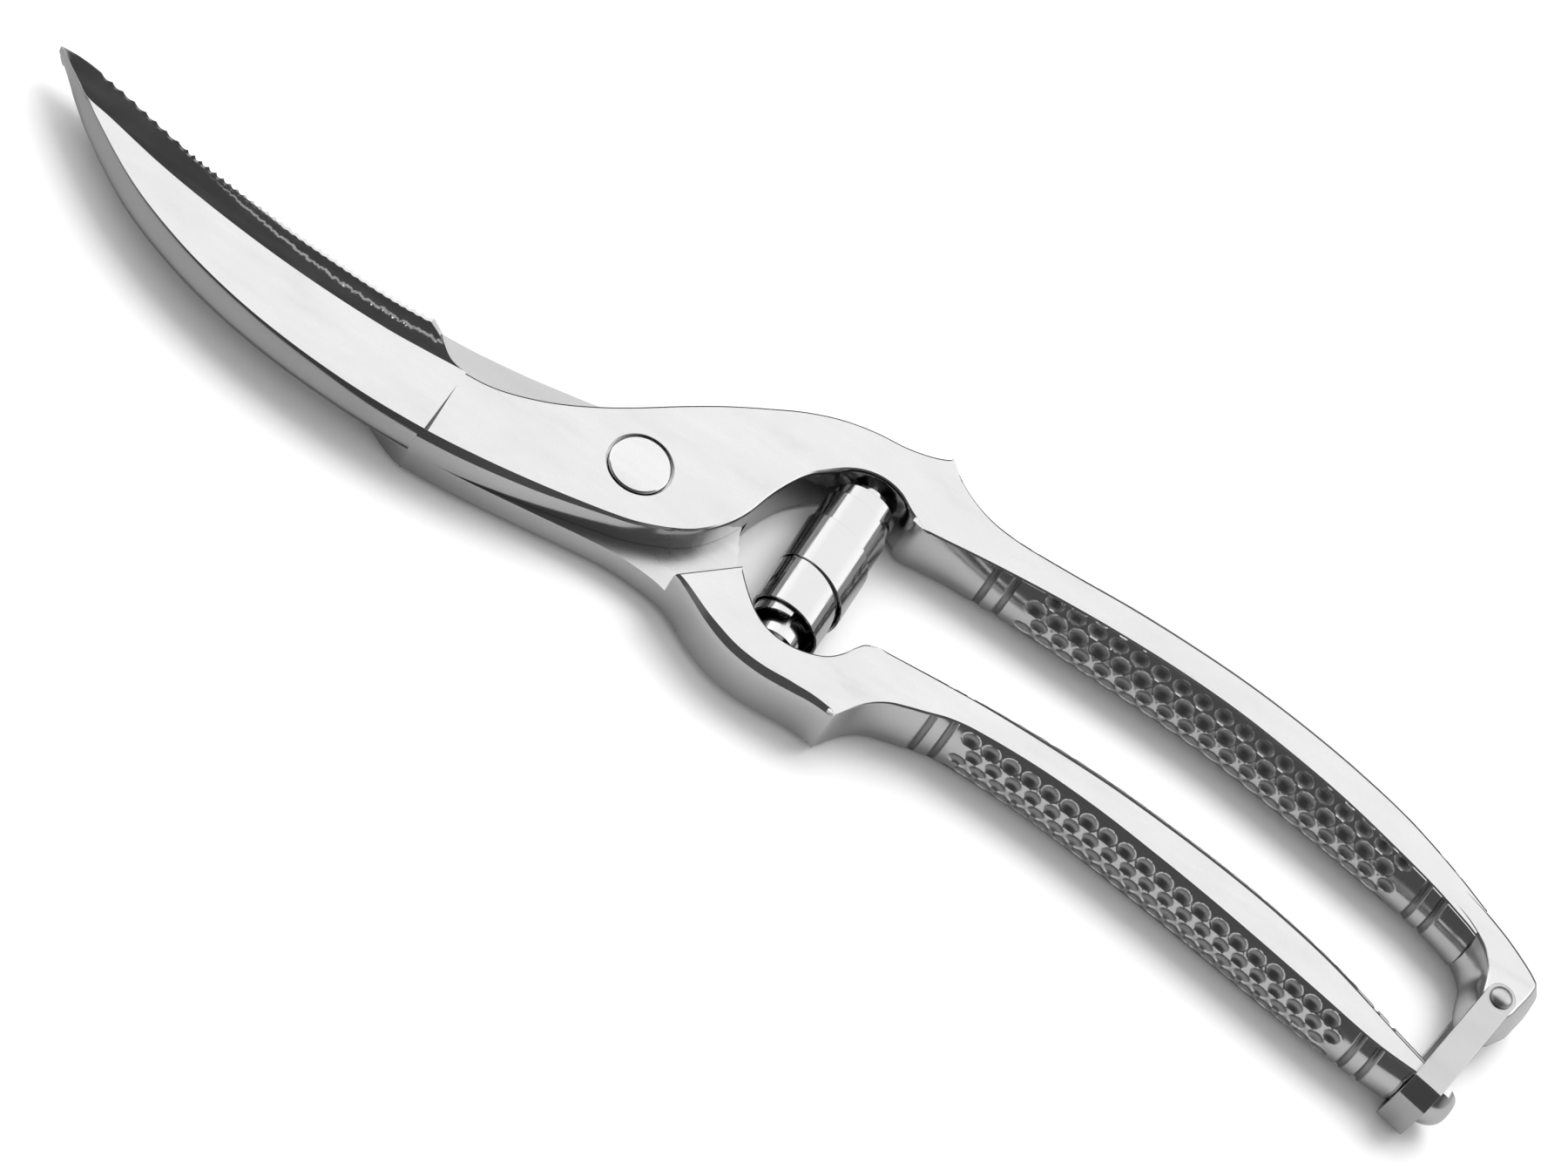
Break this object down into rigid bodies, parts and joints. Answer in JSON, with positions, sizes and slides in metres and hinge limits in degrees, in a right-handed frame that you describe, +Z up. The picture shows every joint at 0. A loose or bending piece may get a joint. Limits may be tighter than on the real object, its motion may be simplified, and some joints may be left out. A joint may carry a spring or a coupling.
{
  "type": "poultry shears",
  "caption": "Forged steel poultry shears, shut and latched: bowed crossing blades, one edge finely serrated, dimpled grips, a volute spring between them and a swinging strip catch.",
  "frame": {"origin": "on the pivot's axis, on the plane that the shears lie on", "axes": "+X from the pivot to the handle ends, +Y towards the upper handle, +Z up, out of the face with the domed pivot head"},
  "size_m": [0.2509, 0.0493, 0.0133],
  "materials": {
    "forged_steel": "satin ground flats with polished, dimpled grips",
    "polished_steel": "polished",
    "spring_steel": "bright plated strip",
    "hidden_steel": "turned"
  },
  "bodies": {
    "upper": {"top_half": "forged_steel", "pivot_bolt": "polished_steel", "pivot_washer": "hidden_steel", "pivot_nut": "hidden_steel", "volute_spring": "spring_steel", "upper_spring_peg": "polished_steel", "catch_rivet": "polished_steel"},
    "lower": {"bottom_half": "forged_steel", "lower_spring_peg": "polished_steel"},
    "catch": {"catch_bail": "polished_steel"}
  },
  "joints": [
    {"name": "pivot", "type": "hinge", "parent": "upper", "child": "lower", "pos_m": [0, 0, 0.0062], "axis": [0, 0, -1], "range_deg": [0, 25], "deforming": ["volute_spring"]},
    {"name": "catch_turn", "type": "hinge", "parent": "upper", "child": "catch", "pos_m": [0.1431, 0.0056, 0.0062], "axis": [0, 0, 1], "range_deg": [0, 150]}
  ]
}
